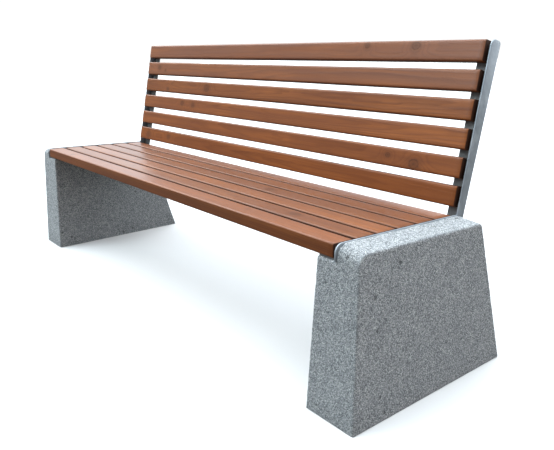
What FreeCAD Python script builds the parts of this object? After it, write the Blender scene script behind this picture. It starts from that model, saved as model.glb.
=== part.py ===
import os
import re

import FreeCAD
import Part
import Sketcher

# Garden bench: two concrete legs carry a welded steel frame at each end, and the frames carry six
# seat slats and six back slats. Lengths are millimetres and angles are degrees.
# X runs along the bench, the sitter faces -Y, and Z is up from the ground.

DIMENSIONS = {
    # the whole bench
    "bench_length": 2000,        # over the feet of the two legs
    "seat_height": 430,          # top of the seat at its front edge
    "seat_tilt": 1.9,            # the seat falls towards the back
    "back_tilt": 13,             # the back leans away from upright
    "origin_setback": 299.4,     # from the front of the feet to the middle of the bench's depth
    # concrete legs
    "leg_floor_width": 164,
    "leg_floor_depth": 576,
    "leg_heel_reach": 14,        # top of the leg behind the line where the back meets the seat
    "leg_front_lean": 31,        # how far the front face leans back by the seat's height
    "leg_draft": 2,              # taper of both side faces, so that the leg leaves its mould
    "lip_width": 70,             # top of the part of the leg outside the steel frame
    "lip_fall": 9,               # the top of the lip slopes down this much to its outer edge
    "leg_nose_radius": 27,
    "leg_heel_radius": 18,
    "ledge_nose_radius": 5,
    "leg_edge_radius": 5,
    # steel frames
    "plate_thickness": 4,
    "seat_plate_lead": 3,        # front edge of the seat plate ahead of the front of the seat
    "upright_setback": 9,        # front edge of the upright behind the fronts of the back slats
    "plate_rise": 1,             # seat plate above the slats
    "upright_rise": 3,           # upright above the top slat
    "upright_flare": 13,         # the upright is this much wider at its top than at its foot
    "plate_nose_radius": 22,
    "upright_nose_radius": 16,
    "upright_heel_radius": 9,
    "seat_strip_width": 58,
    "seat_strip_thickness": 4,
    "seat_strip_setback": 6,
    "back_strip_width": 44,
    "back_strip_thickness": 4,
    "back_strip_top_margin": 8,
    # slats
    "slat_end_gap": 8.5,         # between a slat's end and the side plate
    "seat_slat_width": 61.5,
    "seat_slat_thickness": 36,
    "seat_slat_gap": 10.5,
    "seat_slat_edge_radius": 5,
    "seat_overhang": 2,          # front slat ahead of the leg's front edge
    "back_slat_width": 56,
    "back_slat_thickness": 32,
    "back_slat_gap": 18.8,
    "back_slat_edge_radius": 6,
    "seat_to_back": 4,           # last seat slat to the plane of the back slats' fronts
    "back_clearance": 6,         # seat height to the lowest back slat, along the back
    # countersunk screws that hold the frames to the legs, and their cast-in sockets
    "frame_screw_radius": 3.9,
    "frame_screw_length": 50,
    "frame_screw_head_radius": 7.5,
    "frame_screw_key_flats": 5,
    "frame_screw_key_depth": 2.6,
    "socket_radius": 7,
    "socket_bore_radius": 4,
    "socket_length": 60,
    "socket_floor": 4,
    "cast_clearance": 0.2,
    # screws that hold the slats
    "wood_screw_radius": 2.4,
    "wood_screw_head_radius": 5,
    "coach_screw_radius": 2.9,
    "coach_screw_flats": 10,
    "coach_screw_head": 4,
    "washer_radius": 7,
    "washer_thickness": 1.4,
    "hole_clearance": 0.5,
    "pilot_clearance": 0.1,
    "seat_screw_spread": 26,     # between the two screws in one end of a seat slat
    "back_screw_spread": 18,     # the same in a back slat
    "back_screw_inset": 33,      # from the outside of the side plate to the middle of a pair
    "screw_tip_cover": 8,        # wood left beyond the tip of a screw
    "screw_head_rim": 0.3,       # straight part of a countersunk head above its cone
}

SLATS = 6
SCREWS_PER_END = 2
FRAME_SCREWS = 3
RIGHT, LEFT = 1, -1
SIDE_NAME = {RIGHT: "right", LEFT: "left"}
SCREW_POINT_SHARE = 0.25         # radius of a screw's blunt tip over the radius of its shank
CUT_MARGIN = 100                 # how far a cutting outline stands clear of what it cuts
NEAR = 0.1                       # places closer than this are taken to be the same

# Derived sizes, written in terms of the driving dimensions.
FOOT_FRONT = "(0 - origin_setback)"
SEAT_FRONT = "(leg_front_lean - seat_overhang - origin_setback)"
SEAT_PITCH = "(seat_slat_width + seat_slat_gap)"
SEAT_DEPTH = f"({SLATS} * {SEAT_PITCH} - seat_slat_gap)"
BACK_PITCH = "(back_slat_width + back_slat_gap)"
BACK_LENGTH = f"(back_clearance + {SLATS} * {BACK_PITCH} - back_slat_gap)"
BACK_FOOT = f"({SEAT_FRONT} + ({SEAT_DEPTH} + seat_to_back) * cos(seat_tilt))"
BACK_FROM_SEAT = f"({BACK_FOOT} - {SEAT_FRONT})"
TILT_DIFFERENCE = "(back_tilt - seat_tilt)"
LEG_OUTER = "(seat_height * tan(leg_draft) + lip_width)"
LEG_INNER = f"(leg_floor_width - {LEG_OUTER})"
LEG_TOP_FRONT = f"({FOOT_FRONT} + leg_front_lean)"
LEG_TOP_BACK = f"({BACK_FOOT} + leg_heel_reach)"
PLATE_FACE = f"(bench_length / 2 - {LEG_OUTER})"
SLAT_HALF = f"({PLATE_FACE} - plate_thickness - slat_end_gap)"
SEAT_UNDERSIDE = "(0 - seat_slat_thickness - seat_strip_thickness)"
SEAT_STRIP_MIDDLE = "(plate_thickness + seat_strip_width / 2)"
BACK_SCREW_MIDDLE = "back_screw_inset"
BACK_STRIP_REAR = "(back_slat_thickness + back_strip_thickness)"
SCREW_SEAT = f"({BACK_STRIP_REAR} + washer_thickness)"
WOOD_SCREW_LENGTH = "(seat_strip_thickness + seat_slat_thickness - screw_tip_cover)"
COACH_SCREW_LENGTH = f"({SCREW_SEAT} - screw_tip_cover)"

doc = FreeCAD.newDocument("garden_bench")
sheet = doc.addObject("Spreadsheet::Sheet", "Sizes")
for row, (alias, value) in enumerate(DIMENSIONS.items(), start=1):
    sheet.set(f"A{row}", alias.replace("_", " "))
    sheet.set(f"B{row}", str(value))
    sheet.setAlias(f"B{row}", alias)
doc.recompute()

ALIASES = re.compile(r"\b(" + "|".join(DIMENSIONS) + r")\b")


def formula(text):
    """An expression in which each driving dimension is read from the sheet."""
    return ALIASES.sub(r"Sizes.\1", str(text))


def value_of(text):
    return float(sheet.evalExpression(formula(text)))


def bind(thing, name, text):
    thing.setExpression(name, formula(text))


# Points of the side view, as pairs of expressions.

def seat_point(along, up):
    """A point of the seat's tilted frame, as global Y and Z."""
    return (
        f"({SEAT_FRONT} + ({along}) * cos(seat_tilt) + ({up}) * sin(seat_tilt))",
        f"(seat_height - ({along}) * sin(seat_tilt) + ({up}) * cos(seat_tilt))",
    )


def seat_plane_height(y, up):
    """Global height, at global Y, of the plane that lies up above the top of the seat."""
    return f"(seat_height - ({y} - {SEAT_FRONT}) * tan(seat_tilt) + ({up}) / cos(seat_tilt))"


def upright_front(up):
    """Distance along the seat's frame to the upright's front edge, at a height above the seat."""
    return (
        f"({BACK_FROM_SEAT} * cos(seat_tilt) + upright_setback * cos({TILT_DIFFERENCE})"
        f" + ({up} - {BACK_FROM_SEAT} * sin(seat_tilt) + upright_setback * sin({TILT_DIFFERENCE}))"
        f" * tan({TILT_DIFFERENCE}))"
    )


def ledge_in_back_frame(depth):
    """Height, along the back, of the ledge under the frames, at a depth behind the slats' fronts."""
    return (
        f"(({SEAT_UNDERSIDE} - {BACK_FROM_SEAT} * sin(seat_tilt)"
        f" + ({depth}) * sin({TILT_DIFFERENCE})) / cos({TILT_DIFFERENCE}))"
    )


# Bodies, sketches and features.

def new_body(label):
    body = doc.addObject("PartDesign::Body", label)
    body.Label = label
    return body


def leaning():
    """A placement that turns about a line along the bench, towards the back."""
    return FreeCAD.Placement(FreeCAD.Vector(0, 0, 0), FreeCAD.Rotation(FreeCAD.Vector(-1, 0, 0), 1))


def place(body, across, y, z, tilt):
    """Puts a body at a point of the bench, leaned back by an angle."""
    body.Placement = leaning()
    bind(body, "Placement.Base.x", across)
    bind(body, "Placement.Base.y", y)
    bind(body, "Placement.Base.z", z)
    bind(body, "Placement.Rotation.Angle", tilt)


def place_on_seat(body, across, along="0"):
    y, z = seat_point(along, "0")
    place(body, across, y, z, "seat_tilt")


def place_on_back(body, across, up="0"):
    place(
        body,
        across,
        f"{BACK_FOOT} + ({up}) * sin(back_tilt)",
        f"seat_height + ({up}) * cos(back_tilt)",
        "back_tilt",
    )


def origin_feature(body, role):
    return next(feature for feature in body.Origin.OriginFeatures if feature.Role == role)


def new_sketch(body, name, role):
    sketch = body.newObject("Sketcher::SketchObject", name)
    sketch.AttachmentSupport = (origin_feature(body, role), "")
    sketch.MapMode = "FlatFace"
    return sketch


def lift(sketch, distance):
    """Moves a sketch along its own normal."""
    bind(sketch, "AttachmentOffset.Base.z", distance)


def lean_sketch(sketch, along_normal, up):
    """Leans a sketch's plane back with the seat, about a line along the bench."""
    sketch.AttachmentOffset = leaning()
    bind(sketch, "AttachmentOffset.Base.y", up)
    bind(sketch, "AttachmentOffset.Base.z", along_normal)
    bind(sketch, "AttachmentOffset.Rotation.Angle", "seat_tilt")


def fix_point(sketch, curve, end, across, up):
    """Ties one end of a sketch curve to a place, measured from the sketch's origin."""
    origin_curve, origin_end = -1, 1
    for kind, text in (("DistanceX", across), ("DistanceY", up)):
        index = sketch.addConstraint(
            Sketcher.Constraint(kind, origin_curve, origin_end, curve, end, value_of(text))
        )
        bind(sketch, f"Constraints[{index}]", text)


def draw_outline(sketch, corners):
    """A closed outline of straight lines through corners given as pairs of expressions."""
    places = [FreeCAD.Vector(value_of(across), value_of(up), 0) for across, up in corners]
    first = sketch.GeometryCount
    count = len(corners)
    for index, place_of_corner in enumerate(places):
        sketch.addGeometry(Part.LineSegment(place_of_corner, places[(index + 1) % count]))
    start, end = 1, 2
    for index, (across, up) in enumerate(corners):
        following = first + (index + 1) % count
        sketch.addConstraint(Sketcher.Constraint("Coincident", first + index, end, following, start))
        fix_point(sketch, first + index, start, across, up)


def draw_circle(sketch, across, up, radius):
    centre = FreeCAD.Vector(value_of(across), value_of(up), 0)
    curve = sketch.addGeometry(Part.Circle(centre, FreeCAD.Vector(0, 0, 1), value_of(radius)))
    index = sketch.addConstraint(Sketcher.Constraint("Radius", curve, value_of(radius)))
    bind(sketch, f"Constraints[{index}]", radius)
    fix_point(sketch, curve, 3, across, up)


def hexagon(across, up, flats):
    """Corners of a hexagon with two flats facing up and down."""
    reach = f"({flats}) / (2 * cos(30))"
    return [
        (f"{across} + {reach} * cos({turn})", f"{up} + {reach} * sin({turn})")
        for turn in range(0, 360, 60)
    ]


def pad(body, name, sketch, length, side="One side", other_length=None, reverse=False):
    feature = body.newObject("PartDesign::Pad", name)
    feature.Profile = sketch
    feature.SideType = side
    feature.Reversed = reverse
    bind(feature, "Length", length)
    if other_length:
        bind(feature, "Length2", other_length)
    doc.recompute()
    return feature


def pocket(body, name, sketch, depth=None, reverse=False, side="One side"):
    """A cut of a depth, or right through. It must take something away."""
    before = body.Shape.Volume
    feature = body.newObject("PartDesign::Pocket", name)
    feature.Profile = sketch
    feature.SideType = side
    feature.Reversed = reverse
    if depth:
        bind(feature, "Length", depth)
    else:
        feature.Type = "ThroughAll"
    doc.recompute()
    if body.Shape.Volume >= before:
        raise ValueError(f"{name} in {body.Label} cuts nothing")
    return feature


def revolve(body, name, sketch, role):
    feature = body.newObject("PartDesign::Revolution", name)
    feature.Profile = sketch
    feature.ReferenceAxis = (origin_feature(body, role), [""])
    feature.Angle = 360
    doc.recompute()
    return feature


def repeat(body, name, originals, first, second=None):
    """A row of copies, or a grid of them. Each direction is an axis role, a spacing and a count."""
    feature = body.newObject("PartDesign::LinearPattern", name)
    feature.Originals = originals
    for suffix, direction in zip(("", "2"), filter(None, (first, second))):
        role, spacing, count = direction
        setattr(feature, "Direction" + suffix, (origin_feature(body, role), [""]))
        setattr(feature, "Mode" + suffix, "Extent")
        setattr(feature, "Occurrences" + suffix, count)
        bind(feature, "Length" + suffix, f"{count - 1} * ({spacing})")
    body.Tip = feature
    doc.recompute()
    return feature


def edges_of(body, wanted):
    """Names of the edges whose middle point, direction there and curve pass a test."""
    names = []
    for index, edge in enumerate(body.Tip.Shape.Edges, start=1):
        first, last = edge.ParameterRange
        half_way = (first + last) / 2
        if wanted(edge.valueAt(half_way), edge.tangentAt(half_way), edge.Curve):
            names.append(f"Edge{index}")
    if not names:
        raise ValueError(f"no edge of {body.Label} passes the test")
    return names


def fillet(body, name, radius, wanted):
    base = body.Tip
    names = edges_of(body, wanted)
    feature = body.newObject("PartDesign::Fillet", name)
    feature.Base = (base, names)
    bind(feature, "Radius", radius)
    doc.recompute()


def along_x(direction):
    """True for an edge that runs along the bench, or nearly so where the lip's top slopes."""
    return abs(direction.x) > 0.95


# Concrete legs.

def leg(side):
    """A leg: its side view padded both ways from the plane of the side plate, with a rebate inwards."""
    body = new_body(f"leg_{SIDE_NAME[side]}")
    bind(body, "Placement.Base.x", f"{side} * {PLATE_FACE}")
    outline = new_sketch(body, "side_view", "YZ_Plane")
    draw_outline(outline, [
        (FOOT_FRONT, "0"),
        (f"{FOOT_FRONT} + leg_floor_depth", "0"),
        (LEG_TOP_BACK, seat_plane_height(LEG_TOP_BACK, "0")),
        (LEG_TOP_FRONT, seat_plane_height(LEG_TOP_FRONT, "0")),
    ])
    widths = [LEG_OUTER, LEG_INNER][::side]
    block = pad(body, "block", outline, widths[0], "Two sides", widths[1])
    taper(body, block, [side * value_of(LEG_OUTER), -side * value_of(LEG_INNER)])

    rebate = new_sketch(body, "rebate_view", "YZ_Plane")
    before_leg = f"({FOOT_FRONT} - {CUT_MARGIN})"
    behind_leg = f"({FOOT_FRONT} + leg_floor_depth + {CUT_MARGIN})"
    draw_outline(rebate, [
        (before_leg, seat_plane_height(before_leg, SEAT_UNDERSIDE)),
        (behind_leg, seat_plane_height(behind_leg, SEAT_UNDERSIDE)),
        (behind_leg, f"seat_height + {CUT_MARGIN}"),
        (before_leg, f"seat_height + {CUT_MARGIN}"),
    ])
    pocket(body, "rebate", rebate, reverse=side == LEFT)

    slope = new_sketch(body, "lip_slope_view", "XZ_Plane")
    lean_sketch(slope, f"0 - {SEAT_FRONT}", "seat_height")
    beyond_lip = f"{side} * 2 * {LEG_OUTER}"
    draw_outline(slope, [
        ("0", "0"), (beyond_lip, "0 - 2 * lip_fall"),
        (beyond_lip, f"{CUT_MARGIN}"), ("0", f"{CUT_MARGIN}"),
    ])
    pocket(body, "lip_slope", slope, side="Symmetric")

    fillet(body, "nose", "leg_nose_radius",
           lambda at, way, curve: along_x(way) and on_lip(at) and at.y < 0)
    fillet(body, "heel", "leg_heel_radius",
           lambda at, way, curve: along_x(way) and on_lip(at) and at.y > 0)
    fillet(body, "ledge_nose", "ledge_nose_radius",
           lambda at, way, curve: along_x(way) and at.x * side < 0 and at.z > NEAR and at.y < 0)
    fillet(body, "eased_edges", "leg_edge_radius",
           lambda at, way, curve: not along_x(way) and abs(at.x) > NEAR and at.z > NEAR)

    sockets = new_sketch(body, "socket_places", "XY_Plane")
    y, z = seat_point("0", SEAT_UNDERSIDE)
    lean_sketch(sockets, z, y)
    for number in range(FRAME_SCREWS):
        draw_circle(
            sockets, f"{-side} * {SEAT_STRIP_MIDDLE}", frame_screw_along(number),
            "socket_radius + cast_clearance",
        )
    pocket(body, "socket_holes", sockets, "socket_length + cast_clearance")
    return body


def taper(body, block, flanks):
    """Leans the two flanks of a block, given by where they stand, inwards from its floor."""
    sides = []
    for index, face in enumerate(block.Shape.Faces, start=1):
        middle = face.CenterOfMass
        if abs(middle.z) < NEAR:
            floor = f"Face{index}"
        elif min(abs(middle.x - flank) for flank in flanks) < NEAR:
            sides.append(f"Face{index}")
    draft = body.newObject("PartDesign::Draft", "mould_taper")
    draft.Base = (block, sides)
    draft.NeutralPlane = (block, [floor])
    bind(draft, "Angle", "leg_draft")
    draft.Reversed = True
    doc.recompute()


def on_lip(at):
    """True above the plane half-way between the ledge and the top of the seat."""
    return at.z > value_of(seat_plane_height(round(at.y, 3), f"{SEAT_UNDERSIDE} / 2"))


def frame_screw_along(number):
    """Distance from the seat's front to a frame screw: under every second gap between slats."""
    return f"({2 * number + 1} * {SEAT_PITCH} - seat_slat_gap / 2)"


# Steel frames.

def seat_side_plate(side):
    body = new_body(f"seat_side_plate_{SIDE_NAME[side]}")
    place_on_seat(body, f"{side} * {PLATE_FACE}")
    outline = new_sketch(body, "outline", "YZ_Plane")
    draw_outline(outline, [
        ("0 - seat_plate_lead", SEAT_UNDERSIDE),
        (upright_front(SEAT_UNDERSIDE), SEAT_UNDERSIDE),
        (upright_front("plate_rise"), "plate_rise"),
        ("0 - seat_plate_lead", "plate_rise"),
    ])
    pad(body, "plate", outline, "plate_thickness", reverse=side == RIGHT)
    front_edge = NEAR - value_of("seat_plate_lead")
    fillet(body, "nose", "plate_nose_radius",
           lambda at, way, curve: along_x(way) and at.z > 0 and at.y < front_edge)
    return body


def back_side_plate(side):
    body = new_body(f"back_side_plate_{SIDE_NAME[side]}")
    place_on_back(body, f"{side} * {PLATE_FACE}")
    top = f"{BACK_LENGTH} + upright_rise"
    outline = new_sketch(body, "outline", "YZ_Plane")
    draw_outline(outline, [
        ("upright_setback", ledge_in_back_frame("upright_setback")),
        (BACK_STRIP_REAR, ledge_in_back_frame(BACK_STRIP_REAR)),
        (f"{BACK_STRIP_REAR} + upright_flare", top),
        ("upright_setback", top),
    ])
    pad(body, "plate", outline, "plate_thickness", reverse=side == RIGHT)
    half_way = value_of(BACK_LENGTH) / 2
    middle = value_of(BACK_STRIP_REAR) / 2
    fillet(body, "nose", "upright_nose_radius",
           lambda at, way, curve: along_x(way) and at.z > half_way and at.y < middle)
    fillet(body, "heel", "upright_heel_radius",
           lambda at, way, curve: along_x(way) and at.z > half_way and at.y > middle)
    return body


def seat_strip(side):
    """The bearer under the seat slats, with countersunk holes from above and from below."""
    body = new_body(f"seat_strip_{SIDE_NAME[side]}")
    place_on_seat(body, f"{side} * {PLATE_FACE}")
    near = f"{-side} * plate_thickness"
    far = f"{-side} * (plate_thickness + seat_strip_width)"
    outline = new_sketch(body, "outline", "XY_Plane")
    lift(outline, SEAT_UNDERSIDE)
    draw_outline(outline, [
        (near, "seat_strip_setback"), (far, "seat_strip_setback"),
        (far, SEAT_DEPTH), (near, SEAT_DEPTH),
    ])
    pad(body, "strip", outline, "seat_strip_thickness")

    frame_holes = new_sketch(body, "frame_screw_places", "XY_Plane")
    lift(frame_holes, "0 - seat_slat_thickness")
    for number in range(FRAME_SCREWS):
        draw_circle(
            frame_holes, f"{-side} * {SEAT_STRIP_MIDDLE}", frame_screw_along(number),
            "frame_screw_radius + hole_clearance",
        )
    pocket(body, "frame_screw_holes", frame_holes)
    countersink(body, "frame_screw_seats", "0 - seat_slat_thickness",
                "frame_screw_radius + hole_clearance",
                "frame_screw_head_radius + screw_head_rim - frame_screw_radius - hole_clearance")

    slat_holes = new_sketch(body, "slat_screw_places", "XY_Plane")
    lift(slat_holes, "0 - seat_slat_thickness")
    for across, along in seat_screw_places(side):
        draw_circle(slat_holes, across, along, "wood_screw_radius + hole_clearance")
    pocket(body, "slat_screw_holes", slat_holes)
    countersink(body, "slat_screw_seats", SEAT_UNDERSIDE,
                "wood_screw_radius + hole_clearance",
                "wood_screw_head_radius + screw_head_rim - wood_screw_radius - hole_clearance")
    return body


def countersink(body, name, height, radius, size):
    """A conical seat round each hole of one radius, on the flat face at a height."""
    base = body.Tip
    level = value_of(height)
    hole = value_of(radius)

    def rim(at, way, curve):
        if not isinstance(curve, Part.Circle) or abs(at.z - level) > NEAR:
            return False
        return abs(curve.Radius - hole) < NEAR

    names = edges_of(body, rim)
    feature = body.newObject("PartDesign::Chamfer", name)
    feature.Base = (base, names)
    bind(feature, "Size", size)
    doc.recompute()


def back_strip(side):
    """The bearer behind the back slats, with clearance holes for the coach screws."""
    body = new_body(f"back_strip_{SIDE_NAME[side]}")
    place_on_back(body, f"{side} * {PLATE_FACE}")
    top = f"{BACK_LENGTH} - back_strip_top_margin"
    outline = new_sketch(body, "outline", "YZ_Plane")
    lift(outline, f"{-side} * plate_thickness")
    draw_outline(outline, [
        ("back_slat_thickness", ledge_in_back_frame("back_slat_thickness")),
        (BACK_STRIP_REAR, ledge_in_back_frame(BACK_STRIP_REAR)),
        (BACK_STRIP_REAR, top),
        ("back_slat_thickness", top),
    ])
    pad(body, "strip", outline, "back_strip_width", reverse=side == RIGHT)
    holes = new_sketch(body, "screw_places", "XZ_Plane")
    for across, up in back_screw_places(side):
        draw_circle(holes, across, up, "coach_screw_radius + hole_clearance")
    pocket(body, "screw_holes", holes)
    return body


# Where the slats' screws go, measured from the plane of the side plate.

def screw_offsets(side, middle, spread):
    return [f"({-side} * ({middle} + {end} * {spread} / 2))" for end in (-1, 1)]


def seat_screw_places(side):
    return [
        (across, f"({number} * {SEAT_PITCH} + seat_slat_width / 2)")
        for number in range(SLATS)
        for across in screw_offsets(side, SEAT_STRIP_MIDDLE, "seat_screw_spread")
    ]


def back_screw_places(side):
    return [
        (across, f"(back_clearance + {number} * {BACK_PITCH} + back_slat_width / 2)")
        for number in range(SLATS)
        for across in screw_offsets(side, BACK_SCREW_MIDDLE, "back_screw_spread")
    ]


def slat_screw_columns(middle, spread):
    """Distances across the whole bench of the screws in one slat."""
    return [
        f"({side} * {PLATE_FACE} + {offset})"
        for side in (LEFT, RIGHT) for offset in screw_offsets(side, middle, spread)
    ]


# Slats.

def rounded_slat(body, corners, edge_radius):
    outline = new_sketch(body, "section", "YZ_Plane")
    draw_outline(outline, corners)
    pad(body, "slat", outline, f"2 * {SLAT_HALF}", "Symmetric")
    fillet(body, "eased_edges", edge_radius, lambda at, way, curve: along_x(way))


def seat_slat(number):
    body = new_body(f"seat_slat_{number + 1}")
    place_on_seat(body, "0", f"{number} * {SEAT_PITCH}")
    rounded_slat(body, [
        ("0", "0 - seat_slat_thickness"), ("seat_slat_width", "0 - seat_slat_thickness"),
        ("seat_slat_width", "0"), ("0", "0"),
    ], "seat_slat_edge_radius")
    holes = new_sketch(body, "pilot_places", "XY_Plane")
    lift(holes, "0 - seat_slat_thickness")
    for across in slat_screw_columns(SEAT_STRIP_MIDDLE, "seat_screw_spread"):
        draw_circle(holes, across, "seat_slat_width / 2", "wood_screw_radius + pilot_clearance")
    depth = "seat_slat_thickness - screw_tip_cover + pilot_clearance"
    pocket(body, "pilot_holes", holes, depth, reverse=True)
    return body


def back_slat(number):
    body = new_body(f"back_slat_{number + 1}")
    place_on_back(body, "0", f"back_clearance + {number} * {BACK_PITCH}")
    rounded_slat(body, [
        ("0", "0"), ("back_slat_thickness", "0"),
        ("back_slat_thickness", "back_slat_width"), ("0", "back_slat_width"),
    ], "back_slat_edge_radius")
    holes = new_sketch(body, "pilot_places", "XZ_Plane")
    lift(holes, "0 - back_slat_thickness")
    for across in slat_screw_columns(BACK_SCREW_MIDDLE, "back_screw_spread"):
        draw_circle(holes, across, "back_slat_width / 2", "coach_screw_radius + pilot_clearance")
    depth = "back_slat_thickness - screw_tip_cover + pilot_clearance"
    pocket(body, "pilot_holes", holes, depth, reverse=True)
    return body


# Fasteners. Each body is a group of separate solids.

def countersunk_outline(top, head_radius, radius, length, way):
    """Half the side view of a countersunk screw whose flat head is at top; way is 1 up or -1 down."""
    point = f"({top} + {way} * {length})"
    shoulder = f"({top} + {way} * ({head_radius} - {radius} + screw_head_rim))"
    point_start = f"({top} + {way} * ({length} - {radius}))"
    return [
        ("0", top), (head_radius, top), (head_radius, f"{top} + {way} * screw_head_rim"),
        (radius, shoulder), (radius, point_start), (f"{radius} * {SCREW_POINT_SHARE}", point),
        ("0", point),
    ]


def seat_slat_screws(side):
    body = new_body(f"seat_slat_screws_{SIDE_NAME[side]}")
    first_across = f"{side} * ({PLATE_FACE} - {SEAT_STRIP_MIDDLE}) - seat_screw_spread / 2"
    place_on_seat(body, first_across, "seat_slat_width / 2")
    profile = new_sketch(body, "profile", "XZ_Plane")
    draw_outline(profile, countersunk_outline(
        SEAT_UNDERSIDE, "wood_screw_head_radius", "wood_screw_radius", WOOD_SCREW_LENGTH, 1))
    screw = revolve(body, "screw", profile, "Z_Axis")
    repeat(body, "screws", [screw],
           ("X_Axis", "seat_screw_spread", SCREWS_PER_END), ("Y_Axis", SEAT_PITCH, SLATS))
    return body


def frame_screws(side):
    body = new_body(f"frame_screws_{SIDE_NAME[side]}")
    place_on_seat(body, f"{side} * ({PLATE_FACE} - {SEAT_STRIP_MIDDLE})", frame_screw_along(0))
    profile = new_sketch(body, "profile", "XZ_Plane")
    draw_outline(profile, countersunk_outline(
        "(0 - seat_slat_thickness)", "frame_screw_head_radius", "frame_screw_radius",
        "frame_screw_length", -1))
    screw = revolve(body, "screw", profile, "Z_Axis")
    key = new_sketch(body, "key_outline", "XY_Plane")
    lift(key, "0 - seat_slat_thickness")
    draw_outline(key, hexagon("0", "0", "frame_screw_key_flats"))
    recess = pocket(body, "key_recess", key, "frame_screw_key_depth")
    repeat(body, "screws", [screw, recess], ("Y_Axis", f"2 * {SEAT_PITCH}", FRAME_SCREWS))
    return body


def sockets(side):
    """Threaded sleeves with a closed lower end, cast into the leg flush with its ledge."""
    body = new_body(f"sockets_{SIDE_NAME[side]}")
    place_on_seat(body, f"{side} * ({PLATE_FACE} - {SEAT_STRIP_MIDDLE})", frame_screw_along(0))
    low = f"({SEAT_UNDERSIDE} - socket_length)"
    profile = new_sketch(body, "profile", "XZ_Plane")
    draw_outline(profile, [
        ("0", low), ("socket_radius", low), ("socket_radius", SEAT_UNDERSIDE),
        ("socket_bore_radius", SEAT_UNDERSIDE), ("socket_bore_radius", f"{low} + socket_floor"),
        ("0", f"{low} + socket_floor"),
    ])
    socket = revolve(body, "socket", profile, "Z_Axis")
    repeat(body, "row", [socket], ("Y_Axis", f"2 * {SEAT_PITCH}", FRAME_SCREWS))
    return body


def back_grid(body, name, originals):
    repeat(body, name, originals,
           ("X_Axis", "back_screw_spread", SCREWS_PER_END), ("Z_Axis", BACK_PITCH, SLATS))


def place_behind_back(body, side):
    first_across = f"{side} * ({PLATE_FACE} - {BACK_SCREW_MIDDLE}) - back_screw_spread / 2"
    place_on_back(body, first_across, "back_clearance + back_slat_width / 2")


def washers(side):
    body = new_body(f"washers_{SIDE_NAME[side]}")
    place_behind_back(body, side)
    outline = new_sketch(body, "outline", "XZ_Plane")
    lift(outline, f"0 - {BACK_STRIP_REAR}")
    draw_circle(outline, "0", "0", "washer_radius")
    draw_circle(outline, "0", "0", "coach_screw_radius + hole_clearance")
    washer = pad(body, "washer", outline, "washer_thickness", reverse=True)
    back_grid(body, "grid", [washer])
    return body


def back_slat_screws(side):
    body = new_body(f"back_slat_screws_{SIDE_NAME[side]}")
    place_behind_back(body, side)
    head_outline = new_sketch(body, "head_outline", "XZ_Plane")
    lift(head_outline, f"0 - {SCREW_SEAT}")
    draw_outline(head_outline, hexagon("0", "0", "coach_screw_flats"))
    head = pad(body, "head", head_outline, "coach_screw_head", reverse=True)
    shank_outline = new_sketch(body, "shank_outline", "XZ_Plane")
    lift(shank_outline, f"0 - {SCREW_SEAT}")
    draw_circle(shank_outline, "0", "0", "coach_screw_radius")
    shank = pad(body, "shank", shank_outline, COACH_SCREW_LENGTH)
    back_grid(body, "grid", [head, shank])
    return body


sub_parts = []
for number in range(SLATS):
    sub_parts.append(seat_slat(number))
    sub_parts.append(back_slat(number))
for side in (LEFT, RIGHT):
    for make in (
        leg, seat_side_plate, back_side_plate, seat_strip, back_strip, frame_screws, sockets,
        seat_slat_screws, back_slat_screws, washers,
    ):
        sub_parts.append(make(side))
doc.recompute()

for thing in doc.Objects:
    if "Invalid" in thing.State or "Error" in thing.State:
        raise ValueError(f"{thing.Name} failed: {thing.State}")
for body in sub_parts:
    if body.Shape.isNull() or not body.Shape.isValid():
        raise ValueError(f"{body.Label} has no valid shape")
os.makedirs("parts", exist_ok=True)
for body in sub_parts:
    body.Shape.exportStep(f"parts/{body.Label}.step")
    print(body.Label, len(body.Shape.Solids), round(body.Shape.Volume / 1000, 2), "cm3")
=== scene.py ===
import math
import random

import bmesh
import bpy
from mathutils import Matrix, Vector, noise


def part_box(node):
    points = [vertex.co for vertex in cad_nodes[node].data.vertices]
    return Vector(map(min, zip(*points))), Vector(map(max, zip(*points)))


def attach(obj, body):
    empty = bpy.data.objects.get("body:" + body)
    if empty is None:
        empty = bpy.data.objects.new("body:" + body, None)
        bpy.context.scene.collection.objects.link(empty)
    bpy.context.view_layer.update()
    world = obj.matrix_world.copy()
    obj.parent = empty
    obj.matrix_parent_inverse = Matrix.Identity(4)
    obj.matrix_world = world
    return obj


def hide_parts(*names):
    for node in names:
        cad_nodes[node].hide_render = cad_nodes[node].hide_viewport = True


# Garden bench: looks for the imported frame. Metres; X along the bench, the sitter faces -Y, Z up.

SEAT_TILT = math.radians(1.9)
BACK_TILT = math.radians(13.0)
SLATS = 6
SEED = 11

# Wood. How pale the glaze of each back slat is painted, from the lowest slat up: partly a glaze gone
# pale with age, partly a painted sheen.
BACK_FADE_AND_SHEEN = (0.0, 0.05, 0.07, 0.08, 0.22, 0.24)
# How pale the seat boards' glaze is painted: partly a glaze gone pale with age, partly a painted
# sheen.
SEAT_FADE_AND_SHEEN = 0.15
RING_SPACING = 0.0044
BOARD_STATIONS = 96
END_EASE = 0.0016

# Concrete.
LEG_MESH_SIZE = 0.0035
COARSE_GRAINS = 340.0
FINE_GRAINS = 700.0

# Steel.
PLATE_EASE = 0.0006
FASTENER_EASE = 0.0003
MERGE_DISTANCE = 0.00002
WELD_RADIUS = 0.0026
WELD_LENGTH = 0.034
WELD_PITCH = 0.11
WELD_STEPS = 34
WELD_SIDES = 10

# Floor.
FLOOR_REACH = 30.0
FLOOR_STEPS = 12

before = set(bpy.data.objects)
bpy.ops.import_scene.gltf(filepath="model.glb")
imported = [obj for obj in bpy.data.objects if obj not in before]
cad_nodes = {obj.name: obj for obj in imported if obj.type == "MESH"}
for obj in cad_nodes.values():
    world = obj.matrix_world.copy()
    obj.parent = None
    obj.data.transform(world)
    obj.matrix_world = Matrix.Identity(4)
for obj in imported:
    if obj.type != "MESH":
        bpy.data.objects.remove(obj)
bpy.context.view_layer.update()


# Shader graphs.

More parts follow.
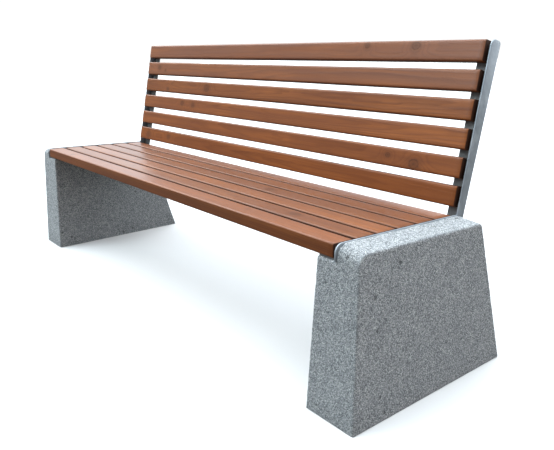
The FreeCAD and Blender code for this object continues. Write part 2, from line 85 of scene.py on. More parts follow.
class Graph:
    """Short ways to add shader nodes to one new material with a Principled shader."""

    def __init__(self, name):
        self.material = bpy.data.materials.new(name)
        self.material.use_nodes = True
        self.tree = self.material.node_tree
        self.tree.nodes.clear()
        output = self.tree.nodes.new("ShaderNodeOutputMaterial")
        self.shader = self.tree.nodes.new("ShaderNodeBsdfPrincipled")
        self.tree.links.new(self.shader.outputs["BSDF"], output.inputs["Surface"])

    def put(self, socket, value):
        if isinstance(value, bpy.types.NodeSocket):
            self.tree.links.new(value, socket)
        else:
            socket.default_value = value

    def add(self, kind, **inputs):
        node = self.tree.nodes.new("ShaderNode" + kind)
        for name, value in inputs.items():
            self.put(node.inputs[name], value)
        return node

    def surface(self, **inputs):
        for name, value in inputs.items():
            self.put(self.shader.inputs[name.replace("_", " ")], value)

    def place(self):
        return self.add("TexCoord").outputs["Object"]

    def attribute(self, name):
        node = self.add("Attribute")
        node.attribute_name = name
        return node

    def math(self, operation, first, second=0.0, third=0.0, clamp=False):
        node = self.tree.nodes.new("ShaderNodeMath")
        node.operation = operation
        node.use_clamp = clamp
        for socket, value in zip(node.inputs, (first, second, third)):
            self.put(socket, value)
        return node.outputs[0]

    def vector(self, operation, first, second=(0.0, 0.0, 0.0)):
        node = self.tree.nodes.new("ShaderNodeVectorMath")
        node.operation = operation
        self.put(node.inputs[0], first)
        if operation == "SCALE":
            self.put(node.inputs["Scale"], second)
        elif operation != "LENGTH":
            self.put(node.inputs[1], second)
        return node.outputs["Value"] if operation == "LENGTH" else node.outputs[0]

    def noise(self, at, scale=1.0, detail=2.0, roughness=0.5, stretch=(1.0, 1.0, 1.0)):
        where = self.vector("MULTIPLY", at, stretch)
        node = self.add("TexNoise", Vector=where, Scale=scale, Detail=detail, Roughness=roughness)
        return node.outputs["Fac"]

    def cells(self, at, scale):
        return self.add("TexVoronoi", Vector=at, Scale=scale)

    def ramp(self, factor, *stops):
        """Colours or grey levels at places along a factor from 0 to 1."""
        node = self.add("ValToRGB", Fac=factor)
        points = node.color_ramp.elements
        while len(points) < len(stops):
            points.new(1.0)
        for point, (where, shade) in zip(points, stops):
            point.position = where
            point.color = (shade, shade, shade, 1.0) if isinstance(shade, float) else (*shade, 1.0)
        return node.outputs["Color"]

    def mix(self, factor, first, second, blend="MIX"):
        node = self.tree.nodes.new("ShaderNodeMix")
        node.data_type = "RGBA"
        node.blend_type = blend
        for name, value in (("Factor_Float", factor), ("A_Color", first), ("B_Color", second)):
            socket = next(s for s in node.inputs if s.identifier == name)
            if isinstance(value, tuple) and len(value) == 3:
                value = (*value, 1.0)
            self.put(socket, value)
        return next(s for s in node.outputs if s.identifier == "Result_Color")

    def bump(self, height, distance, strength):
        return self.add("Bump", Height=height, Distance=distance, Strength=strength).outputs["Normal"]


def separate(graph, vector):
    return graph.add("SeparateXYZ", Vector=vector).outputs


def combine(graph, x, y, z):
    return graph.add("CombineXYZ", X=x, Y=y, Z=z).outputs["Vector"]


def stained_wood():
    """Softwood under a reddish brown glaze. Grain comes from growth rings round a wandering pith."""
    g = Graph("stained_wood")
    grain = g.attribute("grain").outputs["Vector"]
    x, across, depth = separate(g, grain)
    sway_across = g.noise(grain, 1.0, 1.0, stretch=(1.1, 2.0, 2.0))
    sway_depth = g.noise(grain, 1.0, 1.0, stretch=(0.7, 1.5, 3.0))
    ripple = g.noise(grain, 1.0, 2.0, stretch=(7.0, 40.0, 40.0))
    drift_across = g.math("MULTIPLY_ADD", sway_across, 0.040, -0.020)
    drift_depth = g.math("MULTIPLY_ADD", sway_depth, 0.050, -0.025)
    wave = g.math("MULTIPLY_ADD", ripple, 0.006, -0.003)
    swirl = 0.0
    knot_dark = 0.0
    knot_ring = 0.0
    for number in (1, 2):
        away = g.attribute(f"knot_{number}").outputs["Vector"]
        reach_x, reach_across, knot_radius = separate(g, away)
        flat = combine(g, g.math("MULTIPLY", reach_x, 0.75), reach_across, 0.0)
        far = g.math("DIVIDE", g.vector("LENGTH", flat), knot_radius)
        squared = g.math("MULTIPLY", far, far)
        push = g.math("EXPONENT", g.math("MULTIPLY", squared, -0.12))
        swirl = g.math("MULTIPLY_ADD", push, 0.016, swirl)
        fray = g.noise(grain, 170.0, 2.0)
        rough_far = g.math("MULTIPLY_ADD", fray, 0.6, g.math("SUBTRACT", far, 0.3))
        # A knot is darkest in a line round it, then at its heart.
        half_far = g.math("MULTIPLY", rough_far, 0.5)
        core = g.ramp(half_far, (0.0, 0.85), (0.25, 0.45), (0.38, 0.35), (0.50, 1.0), (0.62, 0.0))
        halo = g.ramp(g.math("MULTIPLY", rough_far, 0.4), (0.0, 1.0), (0.45, 0.75), (1.0, 0.0))
        knot_dark = g.math("MAXIMUM", core, knot_dark)
        knot_ring = g.math("MAXIMUM", halo, knot_ring)
    pith_across = g.math("ADD", across, drift_across)
    pith_depth = g.math("ADD", depth, drift_depth)
    radius = g.vector("LENGTH", combine(g, 0.0, pith_across, pith_depth))
    radius = g.math("ADD", radius, g.math("ADD", wave, swirl))
    uneven = g.noise(combine(g, radius, 0.0, 0.0), 55.0, 1.0)
    spread = g.math("MULTIPLY_ADD", uneven, 1.3, g.math("DIVIDE", radius, RING_SPACING))
    ring = g.math("FRACT", spread)
    late = g.ramp(ring, (0.0, 0.10), (0.45, 0.18), (0.80, 1.0), (0.93, 0.85), (1.0, 0.05))
    fibre = g.noise(grain, 1.0, 3.0, 0.6, stretch=(9.0, 650.0, 650.0))
    streak = g.noise(grain, 1.0, 3.0, 0.55, stretch=(1.6, 70.0, 70.0))
    patch = g.noise(grain, 1.0, 3.0, 0.55, stretch=(3.4, 14.0, 14.0))
    tone = g.attribute("tone").outputs["Vector"]
    tone_value, tone_red, end = separate(g, tone)
    flank = g.attribute("flank").outputs["Fac"]
    fade_and_sheen = g.attribute("fade_and_sheen").outputs["Fac"]

    light = (0.282, 0.089, 0.019)
    dark = (0.098, 0.025, 0.005)
    reddish = (0.215, 0.054, 0.011)
    blotched = (0.150, 0.042, 0.010)
    pale = (0.240, 0.145, 0.115)
    knot_rim = (0.090, 0.030, 0.012)
    knot_heart = (0.050, 0.018, 0.008)
    # Painted shade for the flanks of the boards.
    painted_gap_shade = (0.042, 0.011, 0.003)
    dark_sawn_end = (0.022, 0.009, 0.005)
    share = g.math("MULTIPLY", late, 0.34)
    share = g.math("MULTIPLY_ADD", g.ramp(streak, (0.36, 0.0), (0.66, 1.0)), 0.50, share)
    share = g.math("MULTIPLY_ADD", g.ramp(fibre, (0.35, 0.0), (0.70, 1.0)), 0.20, share, clamp=True)
    colour = g.mix(share, light, dark)
    colour = g.mix(g.math("MULTIPLY", tone_red, 0.6), colour, reddish)
    colour = g.mix(g.ramp(patch, (0.36, 0.0), (0.66, 0.70)), colour, blotched)
    # Paler glaze, partly gone pale with age and partly a painted sheen; kept off the shaded flanks.
    fade_and_sheen_share = g.math("MULTIPLY", fade_and_sheen, g.math("MULTIPLY_ADD", streak, 1.2, 0.4), clamp=True)
    fade_and_sheen_share = g.math("MULTIPLY", fade_and_sheen_share, g.math("MULTIPLY_ADD", flank, -3.3, 1.0, clamp=True))
    colour = g.mix(fade_and_sheen_share, colour, pale)
    colour = g.mix(g.math("MULTIPLY", knot_ring, 0.42), colour, knot_rim)
    colour = g.mix(g.math("MULTIPLY", knot_dark, 0.60), colour, knot_heart)
    # Painted shade on the flanks: in the gaps between the boards, and less of it on the front of the
    # front seat board.
    flank_patch = g.math("MULTIPLY_ADD", streak, 0.4, 0.72)
    colour = g.mix(g.math("MULTIPLY", flank, flank_patch, clamp=True), colour, painted_gap_shade)
    # The sawn ends are painted nearly black.
    colour = g.mix(g.math("MULTIPLY", end, 0.88), colour, dark_sawn_end)
    bright = g.add("HueSaturation", Color=colour, Value=tone_value).outputs["Color"]

    rough = g.math("MULTIPLY_ADD", fibre, 0.12, 0.27)
    rough = g.math("MULTIPLY_ADD", end, 0.25, rough)
    rough = g.math("MULTIPLY_ADD", flank, 0.40, rough)
    height = g.math("MULTIPLY_ADD", fibre, 0.55, g.math("MULTIPLY", late, 0.45))
    normal = g.bump(height, 0.00035, 0.55)
    g.surface(Base_Color=bright, Roughness=rough, Normal=normal, Specular_IOR_Level=0.28)
    return g.material


def concrete():
    """Washed concrete: grains of dark, grey and pale stone standing in a pale cement."""
    g = Graph("concrete")
    place = g.place()
    # The cells stand askew to every face, so that no face runs along a layer of them.
    askew = g.add("VectorRotate", Vector=place)
    askew.rotation_type = "EULER_XYZ"
    askew.inputs["Rotation"].default_value = (0.65, 0.42, 0.93)
    at = askew.outputs["Vector"]
    warp = g.add("TexNoise", Vector=at, Scale=300.0, Detail=2.0).outputs["Color"]
    warp = g.vector("SUBTRACT", warp, (0.5, 0.5, 0.5))
    bent = g.vector("ADD", at, g.vector("SCALE", warp, 0.0022))
    coarse = g.cells(bent, COARSE_GRAINS)
    fine = g.cells(bent, FINE_GRAINS)
    kind = separate(g, coarse.outputs["Color"])[0]
    fine_kind = separate(g, fine.outputs["Color"])[1]
    stone = g.ramp(
        kind,
        (0.00, (0.035, 0.037, 0.042)),
        (0.20, (0.075, 0.080, 0.088)),
        (0.42, (0.185, 0.192, 0.200)),
        (0.62, (0.300, 0.305, 0.310)),
        (0.80, (0.420, 0.410, 0.400)),
        (1.00, (0.640, 0.640, 0.630)),
    )
    small = g.ramp(
        fine_kind,
        (0.00, (0.050, 0.053, 0.060)),
        (0.35, (0.170, 0.176, 0.184)),
        (0.70, (0.330, 0.335, 0.340)),
        (1.00, (0.620, 0.620, 0.610)),
    )
    near = coarse.outputs["Distance"]
    in_stone = g.ramp(near, (0.42, 1.0), (0.62, 0.0))
    colour = g.mix(in_stone, small, stone)
    cement = g.noise(at, 900.0, 2.0, 0.6)
    cement_grey = (0.335, 0.345, 0.350)
    colour = g.mix(g.math("MULTIPLY", cement, 0.32), colour, cement_grey)
    cloud = g.noise(at, 9.0, 3.0, 0.55)
    cloud_fine = g.noise(at, 45.0, 2.0, 0.5)
    shade = g.math("MULTIPLY_ADD", cloud, 0.12, 0.91)
    shade = g.math("MULTIPLY_ADD", cloud_fine, 0.08, g.math("SUBTRACT", shade, 0.04))
    # The foot is a little darker towards the ground.
    height_up = separate(g, place)[2]
    ragged_height = g.math("ADD", height_up, g.math("MULTIPLY", cloud, 0.05))
    low_darkening = g.ramp(ragged_height, (0.0, 0.88), (0.09, 1.0))
    shade = g.math("MULTIPLY", shade, low_darkening)
    # A few air holes, painted darker: painted shade in them.
    pits = g.cells(bent, 34.0)
    pit_kind = separate(g, pits.outputs["Color"])[2]
    round_pit = g.ramp(pits.outputs["Distance"], (0.0, 1.0), (0.16, 0.85), (0.22, 0.0))
    pit = g.math("MULTIPLY", round_pit, g.math("GREATER_THAN", pit_kind, 0.90))
    shade = g.math("MULTIPLY", shade, g.math("MULTIPLY_ADD", pit, -0.6, 1.0))
    wear = g.attribute("wear").outputs["Fac"]
    worn_grey = (0.520, 0.535, 0.545)
    cool_tint = (0.97, 1.0, 1.015)
    colour = g.mix(g.math("MULTIPLY", wear, 0.45), colour, worn_grey)
    colour = g.mix(1.0, colour, cool_tint, "MULTIPLY")
    colour = g.add("HueSaturation", Color=colour, Value=shade).outputs["Color"]
    height = g.math("MULTIPLY_ADD", near, -0.9, g.math("MULTIPLY", fine_kind, 0.35))
    height = g.math("MULTIPLY_ADD", pit, -1.2, height)
    normal = g.bump(height, 0.0013, 0.75)
    glint = g.ramp(fine_kind, (0.0, 0.92), (0.90, 0.80), (0.94, 0.25), (1.0, 0.18))
    g.surface(Base_Color=colour, Roughness=glint, Normal=normal, IOR=1.5)
    return g.material


def galvanised(name, base, metal, scale, rough):
    """Zinc coated steel: soft crystal patches, faint runs and duller spots."""
    g = Graph(name)
    at = g.place()
    warp = g.add("TexNoise", Vector=at, Scale=scale * 0.8, Detail=2.0).outputs["Color"]
    bent = g.vector("ADD", at, g.vector("SCALE", warp, 0.35 / scale))
    crystal = separate(g, g.cells(bent, scale).outputs["Color"])[0]
    crystal_fine = separate(g, g.cells(bent, scale * 2.6).outputs["Color"])[1]
    cloud = g.noise(at, 22.0, 4.0, 0.6)
    runs = g.noise(at, 1.0, 3.0, 0.5, stretch=(60.0, 60.0, 9.0))
    shade = g.math("MULTIPLY_ADD", crystal, 0.14, 0.86)
    shade = g.math("MULTIPLY_ADD", crystal_fine, 0.06, shade)
    shade = g.math("MULTIPLY", shade, g.math("MULTIPLY_ADD", cloud, 0.22, 0.86))
    shade = g.math("MULTIPLY", shade, g.math("MULTIPLY_ADD", runs, 0.12, 0.94))
    colour = g.add("HueSaturation", Color=(*base, 1.0), Value=shade).outputs["Color"]
    bloom = g.ramp(cloud, (0.52, 0.0), (0.72, 0.35))
    zinc_bloom = (0.56, 0.58, 0.60)
    colour = g.mix(bloom, colour, zinc_bloom)
    roughness = g.math("MULTIPLY_ADD", crystal, 0.14, rough)
    roughness = g.math("MULTIPLY_ADD", bloom, 0.25, roughness)
    height = g.math("MULTIPLY_ADD", cloud, 0.7, g.math("MULTIPLY", crystal_fine, 0.3))
    normal = g.bump(height, 0.0003, 0.35)
    g.surface(Base_Color=colour, Metallic=metal, Roughness=roughness, Normal=normal)
    return g.material


def pale_floor():
    """Pale where it is looked at. It throws back less light on the bench than it shows."""
    g = Graph("pale_floor")
    cloud = g.noise(g.place(), 3.0, 3.0, 0.5)
    shade = g.ramp(cloud, (0.0, (0.66, 0.65, 0.64)), (1.0, (0.68, 0.67, 0.66)))
    g.surface(Base_Color=shade, Roughness=0.9, Specular_IOR_Level=0.1)
    thrown_back = g.add("BsdfDiffuse", Color=(0.12, 0.11, 0.10, 1.0))
    path = g.add("LightPath")
    both = g.add("MixShader", Fac=path.outputs["Is Camera Ray"])
    g.tree.links.new(thrown_back.outputs[0], both.inputs[1])
    g.tree.links.new(g.shader.outputs[0], both.inputs[2])
    output = next(node for node in g.tree.nodes if node.type == "OUTPUT_MATERIAL")
    g.tree.links.new(both.outputs[0], output.inputs["Surface"])
    return g.material


# Meshes.

def new_object(name, mesh):
    thing = bpy.data.objects.new(name, mesh)
    bpy.context.scene.collection.objects.link(thing)
    return thing


def finish_piece(thing, slot_name, *nodes):
    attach(thing, "root")
    if nodes:
        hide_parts(*nodes)


def apply_modifiers(thing):
    graph = bpy.context.evaluated_depsgraph_get()
    mesh = bpy.data.meshes.new_from_object(thing.evaluated_get(graph))
    old = thing.data
    thing.modifiers.clear()
    thing.data = mesh
    bpy.data.meshes.remove(old)


def leaned(tilt):
    """Turns a point of a frame that leans back by tilt into the bench's frame."""
    return Matrix.Rotation(-tilt, 3, "X")


def leaned_box(node, tilt):
    """Lowest and highest corner of a node, in the axes of a frame that leans back by tilt."""
    back = leaned(tilt).inverted()
    points = [back @ vertex.co for vertex in cad_nodes[node].data.vertices]
    low = Vector(min(p[axis] for p in points) for axis in range(3))
    high = Vector(max(p[axis] for p in points) for axis in range(3))
    return low, high


def rounded_section(width, height, radius, steps, gap):
    """Points round a rounded rectangle from 0, 0 to width, height, with their outward directions."""
    section = []
    corners = (
        (width - radius, radius, -90), (width - radius, height - radius, 0),
        (radius, height - radius, 90), (radius, radius, 180),
    )
    for index, (centre_a, centre_b, start) in enumerate(corners):
        for step in range(steps + 1):
            turn = math.radians(start + 90 * step / steps)
            out = Vector((math.cos(turn), math.sin(turn)))
            section.append((Vector((centre_a, centre_b)) + out * radius, out))
        next_a, next_b, next_start = corners[(index + 1) % 4]
        turn = math.radians(next_start)
        out = Vector((math.cos(turn), math.sin(turn)))
        start_point = section[-1][0]
        end_point = Vector((next_a, next_b)) + out * radius
        pieces = max(2, round((end_point - start_point).length / gap))
        for step in range(1, pieces):
            section.append((start_point.lerp(end_point, step / pieces), out))
    return section


def slat(node, tilt, radius, shade, fade_and_sheen_level, rng, front_flank):
    """A planed board with eased edges and sawn ends, a hair uneven, in the place of a CAD slat.

    radius is that of the long edges and shade how light its glaze is. The next number is how pale the
    glaze is painted, partly a glaze gone pale with age and partly a painted sheen, and front_flank
    how strong the painted shade is on the front flank, against 1 on the other one.
    """
    low, high = leaned_box(node, tilt)
    size = high - low
    width_axis = 1 if size.y > size.z else 2
    section = rounded_section(size.y, size.z, radius, 6, 0.006)
    shift = Vector((rng.uniform(0, 50), rng.uniform(0, 50), rng.uniform(0, 50)))
    stations = [low.x + size.x * step / BOARD_STATIONS for step in range(BOARD_STATIONS + 1)]
    eased_end = ((0.0, END_EASE), (END_EASE * 0.3, END_EASE * 0.45), (END_EASE, 0.0))
    rings = [(stations[0] + inwards, inset) for inwards, inset in eased_end]
    rings += [(x, 0.0) for x in stations[1:-1]]
    rings += [(stations[-1] - inwards, inset) for inwards, inset in reversed(eased_end)]
    turn = leaned(tilt)
    build = bmesh.new()
    grain = build.verts.layers.float_vector.new("grain")
    knots = [build.verts.layers.float_vector.new(f"knot_{number}") for number in (1, 2)]
    tone = build.verts.layers.float_vector.new("tone")
    flank = build.verts.layers.float.new("flank")
    fade_and_sheen = build.verts.layers.float.new("fade_and_sheen")
    pith = (rng.uniform(-0.02, 0.02), rng.choice((-1, 1)) * rng.uniform(0.03, 0.07))
    long_shift = rng.uniform(0, 40)
    value = shade * rng.uniform(0.90, 1.12)
    red = rng.uniform(0.0, 0.55)
    width = size[width_axis]
    knot_places = [
        (rng.uniform(-0.85, 0.85), rng.uniform(0.2, 0.8) * width, rng.uniform(0.008, 0.0125)),
        (rng.uniform(-0.85, 0.85), rng.uniform(0.15, 0.85) * width, rng.uniform(0.004, 0.009)),
    ]
    thickness_axis = 3 - width_axis
    loops = []
    for ring_index, (x, inset) in enumerate(rings):
        loop = []
        for point, out in section:
            wobble = noise.noise(Vector((x * 2.2, point.x * 9, point.y * 9)) + shift)
            fine = noise.noise(Vector((x * 14.0, point.x * 40, point.y * 40)) + shift)
            sink = inset + 0.00030 * (1 + wobble) + 0.00012 * (1 + fine)
            local = Vector((x, low.y + point.x - out.x * sink, low.z + point.y - out.y * sink))
            vertex = build.verts.new(turn @ local)
            span = (local.y - low.y, local.z - low.z)
            along_width = span[width_axis - 1]
            along_depth = span[thickness_axis - 1]
            vertex[grain] = Vector((
                x + long_shift,
                along_width - width / 2 + pith[0],
                along_depth - size[thickness_axis] / 2 + pith[1],
            ))
            for layer, (knot_x, knot_width, knot_radius) in zip(knots, knot_places):
                vertex[layer] = Vector((x - knot_x, along_width - knot_width, knot_radius))
            # Side faces below the eased edge get painted shade; the front flank of a seat board and
            # the lower flank of a back board get front_flank of it.
            below_face = high.z - local.z if width_axis == 1 else local.y - low.y
            depth_share = min(1.0, max(0.0, (below_face - 0.0015) / 0.0025))
            sideways = out[width_axis - 1]
            amount = front_flank if sideways < 0 else 1.0
            vertex[fade_and_sheen] = fade_and_sheen_level
            vertex[flank] = depth_share * abs(sideways) * amount
            at_end = 1.0 if ring_index in (0, len(rings) - 1) else 0.0
            vertex[tone] = Vector((value, red, at_end))
            loop.append(vertex)
        loops.append(loop)
    count = len(section)
    for first, second in zip(loops, loops[1:]):
        for index in range(count):
            after = (index + 1) % count
            build.faces.new((first[index], first[after], second[after], second[index]))
    build.faces.new(loops[0])
    build.faces.new(list(reversed(loops[-1])))
    bmesh.ops.recalc_face_normals(build, faces=build.faces)
    mesh = bpy.data.meshes.new(node + "_board")
    build.to_mesh(mesh)
    build.free()
    for face in mesh.polygons:
        face.use_smooth = True
    mesh.set_sharp_from_angle(angle=math.radians(50))
    mesh.materials.append(WOOD)
    finish_piece(new_object(node + "_board", mesh), "stained_wood", node)


def concrete_leg(node):
    """A cast leg with washed faces: a dense mesh of the CAD leg, roughened inwards."""
    low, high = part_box(node)
    leg = new_object(node + "_cast", cad_nodes[node].data.copy())
    leg.data.materials.clear()
    merge = leg.modifiers.new("merge", "WELD")
    merge.merge_threshold = MERGE_DISTANCE
    remesh = leg.modifiers.new("remesh", "REMESH")
    remesh.mode = "VOXEL"
    remesh.voxel_size = LEG_MESH_SIZE
    remesh.use_smooth_shade = True
    hug = leg.modifiers.new("hug", "SHRINKWRAP")
    hug.target = cad_nodes[node]
    hug.wrap_method = "NEAREST_SURFACEPOINT"
    apply_modifiers(leg)
    mesh = leg.data
    wear = mesh.attributes.new("wear", "FLOAT", "POINT")
    normals = [vertex.normal.copy() for vertex in mesh.vertices]
    # seam adds up how far the surface bends round each vertex, which is high along the edges.
    seam = [0.0] * len(mesh.vertices)
    neighbours = [0] * len(mesh.vertices)
    for edge in mesh.edges:
        first, second = edge.vertices
        bend = 1.0 - normals[first].dot(normals[second])
        for index in (first, second):
            seam[index] += bend
            neighbours[index] += 1
    for index, vertex in enumerate(mesh.vertices):
        at = vertex.co.copy()
        sharp = min(1.0, seam[index] / neighbours[index] * 6.0)
        grit = noise.noise(at * 190.0) * 0.5 + noise.noise(at * 85.0) * 0.5
        chip = max(0.0, noise.noise(at * 60.0 + Vector((9.0, 3.0, 1.0))) - 0.05)
        sink = 0.0003 + 0.00012 * (1.0 + grit) + 0.0035 * chip * sharp
        if at.z - low.z < 0.002:
            sink = 0.0002
        vertex.co = at - normals[index] * sink
        wear.data[index].value = sharp * (0.35 + 0.9 * max(0.0, noise.noise(at * 45.0) + 0.25))
    for vertex in mesh.vertices:
        for axis in range(3):
            vertex.co[axis] = min(max(vertex.co[axis], low[axis]), high[axis])
    mesh.materials.append(CONCRETE)
    finish_piece(leg, "concrete", node)


def softened(node, ease, material, slot_name):
    """A CAD piece with its sharp edges broken, as cut and galvanised steel has them."""
    mesh = cad_nodes[node].data.copy()
    build = bmesh.new()
    build.from_mesh(mesh)
    bmesh.ops.remove_doubles(build, verts=build.verts, dist=MERGE_DISTANCE)
    bmesh.ops.dissolve_limit(build, angle_limit=math.radians(1), verts=build.verts, edges=build.edges)
    build.to_mesh(mesh)
    build.free()
    piece = new_object(node + "_finished", mesh)
    piece.data.materials.clear()
    piece.data.materials.append(material)
    bevel = piece.modifiers.new("edges", "BEVEL")
    bevel.width = ease
    bevel.segments = 3
    bevel.limit_method = "ANGLE"
    bevel.angle_limit = math.radians(35)
    apply_modifiers(piece)
    for face in piece.data.polygons:
        face.use_smooth = True
    piece.data.set_sharp_from_angle(angle=math.radians(40))
    finish_piece(piece, slot_name, node)


def weld(name, start, end, into, rng):
    """A row of short fillet welds along an inner corner. into points out of it, at 45 degrees."""
    along = end - start
    length = along.length
    way = along.normalized()
    side = way.cross(into).normalized()
    build = bmesh.new()
    runs = max(2, round(length / WELD_PITCH))
    for run in range(runs):
        middle = length * (run + 0.5) / runs + rng.uniform(-0.004, 0.004)
        loops = []
        for step in range(WELD_STEPS + 1):
            share = step / WELD_STEPS
            taper_off = math.sqrt(max(0.0, 1.0 - (2.0 * share - 1.0) ** 8))
            ripple = 1.0 + 0.10 * abs(math.sin(share * math.pi * 9.0))
            wander = noise.noise(Vector((middle * 50.0, share * 4.0, 3.0))) * 0.0003
            centre = start + way * (middle + (share - 0.5) * WELD_LENGTH) + side * wander
            size = max(0.0001, WELD_RADIUS * taper_off * ripple)
            loop = []
            for point in range(WELD_SIDES):
                turn = 2.0 * math.pi * point / WELD_SIDES
                out = into * math.cos(turn) + side * math.sin(turn)
                loop.append(build.verts.new(centre + out * size))
            loops.append(loop)
        for first, second in zip(loops, loops[1:]):
            for index in range(WELD_SIDES):
                after = (index + 1) % WELD_SIDES
                build.faces.new((first[index], first[after], second[after], second[index]))
        build.faces.new(loops[0])
        build.faces.new(list(reversed(loops[-1])))
    bmesh.ops.recalc_face_normals(build, faces=build.faces)
    mesh = bpy.data.meshes.new(name)
    build.to_mesh(mesh)
    build.free()
    for face in mesh.polygons:
        face.use_smooth = True
    mesh.materials.append(STEEL)
    finish_piece(new_object(name, mesh), "galvanised_steel")


def frame_welds(side_name, side, rng):
    """Welds that join the two strips of one steel frame to its side plates."""
    low, high = leaned_box(f"back_strip_{side_name}", BACK_TILT)
    plate_x = high.x if side > 0 else low.x
    turn = leaned(BACK_TILT)
    start = turn @ Vector((plate_x, high.y, low.z + 0.045))
    end = turn @ Vector((plate_x, high.y, high.z - 0.004))
    into = turn @ Vector((-side, 1.0, 0.0)).normalized()
    weld(f"back_weld_{side_name}", start, end, into, rng)
    low, high = leaned_box(f"seat_strip_{side_name}", SEAT_TILT)
    plate_x = high.x if side > 0 else low.x
    turn = leaned(SEAT_TILT)
    start = turn @ Vector((plate_x, low.y + 0.004, high.z))
    end = turn @ Vector((plate_x, high.y - 0.004, high.z))
    into = turn @ Vector((-side, 0.0, 1.0)).normalized()
    weld(f"seat_weld_{side_name}", start, end, into, rng)


WOOD = stained_wood()
CONCRETE = concrete()
STEEL = galvanised("galvanised_steel", (0.300, 0.335, 0.370), 0.45, 75.0, 0.36)
# A darker, warmer copy of the frame steel for the strips under the slats: painted shade, with a
# painted reflection of the wood.
SHADED_STRIP_STEEL = galvanised("shaded_strip_steel", (0.186, 0.176, 0.170), 0.45, 75.0, 0.42)
ZINC = galvanised("zinc_fasteners", (0.55, 0.56, 0.57), 0.85, 300.0, 0.30)
SOCKET = galvanised("socket_steel", (0.42, 0.42, 0.43), 0.85, 200.0, 0.38)

rng = random.Random(SEED)
for number in range(1, SLATS + 1):
    # The front seat board's front face gets less painted shade than the flanks in the gaps.
    front_flank = 0.40 if number == 1 else 1.0
    slat(f"seat_slat_{number}", SEAT_TILT, 0.005, 0.96, SEAT_FADE_AND_SHEEN, rng, front_flank)
for number in range(1, SLATS + 1):
    slat(f"back_slat_{number}", BACK_TILT, 0.006, 1.08, BACK_FADE_AND_SHEEN[number - 1], rng, 0.5)
for side in ("left", "right"):
    concrete_leg(f"leg_{side}")
    for plate in ("seat_side_plate", "back_side_plate", "seat_strip", "back_strip"):
        metal = SHADED_STRIP_STEEL if "strip" in plate else STEEL
        softened(f"{plate}_{side}", PLATE_EASE, metal, "galvanised_steel")
    for fastener in ("frame_screws", "seat_slat_screws", "back_slat_screws", "washers"):
        softened(f"{fastener}_{side}", FASTENER_EASE, ZINC, "zinc_fasteners")
    for slot in cad_nodes[f"sockets_{side}"].material_slots:
        slot.material = SOCKET
    frame_welds(side, 1 if side == "right" else -1, rng)


# Floor, light and camera.

def stage_floor():
    mesh = bpy.data.meshes.new("floor")
    row_points = FLOOR_STEPS + 1
    lines = [-FLOOR_REACH + 2 * FLOOR_REACH * step / FLOOR_STEPS for step in range(row_points)]
    points = [(x, y, 0.0) for y in lines for x in lines]
    faces = []
    for row in range(FLOOR_STEPS):
        for column in range(FLOOR_STEPS):
            first = row * row_points + column
            faces.append((first, first + 1, first + row_points + 1, first + row_points))
    mesh.from_pydata(points, [], faces)
    mesh.materials.append(pale_floor())
    new_object("floor", mesh)


def soft_sun(name, azimuth, elevation, strength, spread, colour):
    """A wide soft lamp as bright everywhere. Azimuth 0 shines from the sitter's front, 90 from +X."""
    lamp = bpy.data.lights.new(name, "SUN")
    lamp.energy = strength
    lamp.angle = math.radians(spread)
    lamp.color = colour
    thing = bpy.data.objects.new(name, lamp)
    around = math.radians(azimuth)
    above = math.radians(elevation)
    flat = math.cos(above)
    source = Vector((math.sin(around) * flat, -math.cos(around) * flat, math.sin(above)))
    thing.rotation_mode = "QUATERNION"
    thing.rotation_quaternion = source.to_track_quat("Z", "Y")
    bpy.context.scene.collection.objects.link(thing)


def left_fill():
    """A panel low on the left. It lights the left leg most, and doesn't mirror in gloss."""
    lamp = bpy.data.lights.new("left_fill", "AREA")
    lamp.shape = "SQUARE"
    lamp.size = 1.2
    lamp.energy = 22.0
    lamp.color = (0.85, 0.95, 1.0)
    thing = bpy.data.objects.new("left_fill", lamp)
    place = Vector((-2.4, -1.6, 0.7))
    left_leg = Vector((-0.92, 0.0, 0.25))
    thing.location = place
    thing.rotation_mode = "QUATERNION"
    thing.rotation_quaternion = (place - left_leg).to_track_quat("Z", "Y")
    thing.visible_glossy = False
    bpy.context.scene.collection.objects.link(thing)


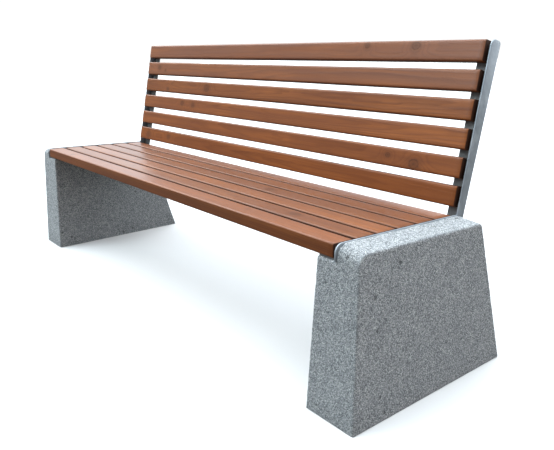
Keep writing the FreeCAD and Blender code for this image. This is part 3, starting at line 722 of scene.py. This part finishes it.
def studio_world():
    """White to the camera. For light and reflections, a bluish sky, brightest behind the back."""
    world = bpy.data.worlds.new("studio")
    world.use_nodes = True
    bpy.context.scene.world = world
    tree = world.node_tree
    tree.nodes.clear()

    def add(kind, *outputs_to_inputs):
        node = tree.nodes.new("ShaderNode" + kind)
        for output, name in outputs_to_inputs:
            tree.links.new(output, node.inputs[name])
        return node

    way = add("TexCoord")
    towards = add("VectorMath", (way.outputs["Generated"], 0))
    towards.operation = "DOT_PRODUCT"
    towards.inputs[1].default_value = (-0.12, 0.77, 0.62)
    level = add("MapRange", (towards.outputs["Value"], "Value"))
    level.inputs["From Min"].default_value = 0.15
    level.inputs["From Max"].default_value = 0.85
    level.inputs["To Min"].default_value = 0.34
    level.inputs["To Max"].default_value = 3.3
    sky = add("Background", (level.outputs["Result"], "Strength"))
    sky.inputs["Color"].default_value = (0.87, 0.94, 1.0, 1.0)
    seen = add("Background")
    seen.inputs["Color"].default_value = (1.0, 1.0, 1.0, 1.0)
    seen.inputs["Strength"].default_value = 1.05
    is_camera = add("LightPath").outputs["Is Camera Ray"]
    both = add("MixShader", (is_camera, 0), (sky.outputs[0], 1), (seen.outputs[0], 2))
    add("OutputWorld", (both.outputs[0], "Surface"))


def photographer():
    """The camera stands in front of the bench's right-hand end and looks a little down along it."""
    camera = bpy.data.cameras.new("camera")
    camera.sensor_width = 36.0
    camera.lens = 39.88
    camera.shift_x = -0.0400
    camera.shift_y = 0.0119
    camera.clip_end = 200.0
    thing = bpy.data.objects.new("camera", camera)
    yaw = 0.8774
    pitch = 0.2936
    roll = -0.0144
    flat = math.cos(pitch)
    forward = Vector((-math.sin(yaw) * flat, math.cos(yaw) * flat, -math.sin(pitch)))
    level = Vector((math.cos(yaw), math.sin(yaw), 0.0))
    upright = level.cross(forward)
    right = level * math.cos(roll) + upright * math.sin(roll)
    up = upright * math.cos(roll) - level * math.sin(roll)
    turn = Matrix((right, up, -forward)).transposed().to_4x4()
    stand = Matrix.Translation((1.8363, -1.1414, 0.8432))
    thing.matrix_world = stand @ turn
    bpy.context.scene.collection.objects.link(thing)
    bpy.context.scene.camera = thing


stage_floor()
studio_world()
soft_sun("overhead", -40.0, 80.0, 2.6, 50.0, (0.78, 0.92, 1.0))
soft_sun("left", -75.0, 36.0, 1.6, 34.0, (1.0, 0.96, 0.93))
soft_sun("front_left", -30.0, 35.0, 1.5, 30.0, (0.76, 0.92, 1.0))
soft_sun("right", 75.0, 35.0, 0.36, 60.0, (1.0, 0.74, 0.62))
left_fill()
photographer()

scene = bpy.context.scene
scene.view_settings.view_transform = "Standard"
scene.view_settings.look = "None"
